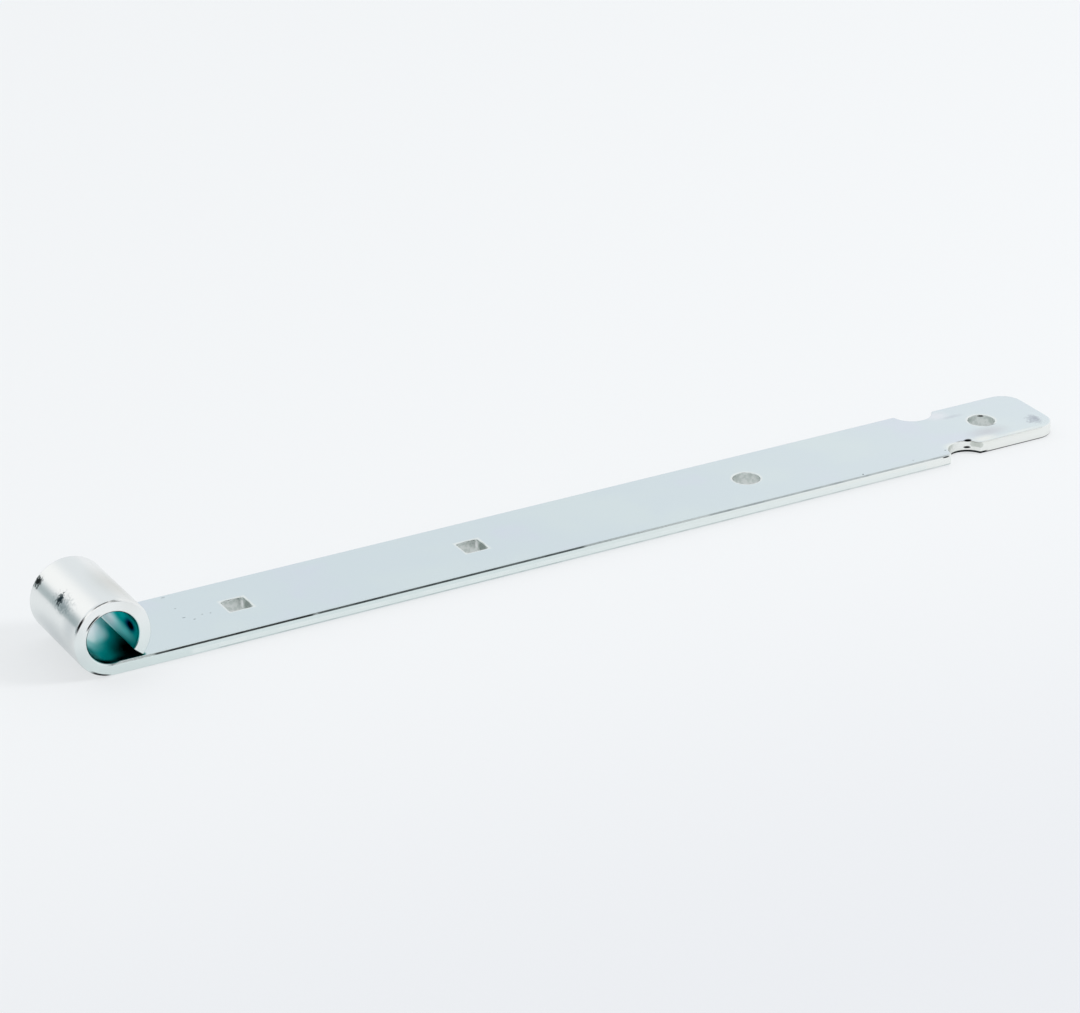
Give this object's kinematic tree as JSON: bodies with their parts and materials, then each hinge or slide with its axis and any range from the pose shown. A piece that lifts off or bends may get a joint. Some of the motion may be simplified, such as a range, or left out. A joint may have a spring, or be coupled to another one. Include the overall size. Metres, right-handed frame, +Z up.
{
  "type": "hinge band",
  "caption": "Flat bar hinge band with an eye rolled for a gate hook's pin, square and round holes along the strap, and a notched, rounded tip.",
  "frame": {"origin": "on the axis of the eye's bore, halfway along it", "axes": "+X along the strap to its tip, +Y along the bore, +Z up from the strap's flat underside to the side that the eye is rolled to"},
  "size_m": [0.4145, 0.04, 0.029],
  "materials": {
    "zinc_plate": "bright blue-white zinc plating over rolled steel bar"
  },
  "bodies": {
    "root": {"hinge_band": "zinc_plate"}
  },
  "joints": []
}
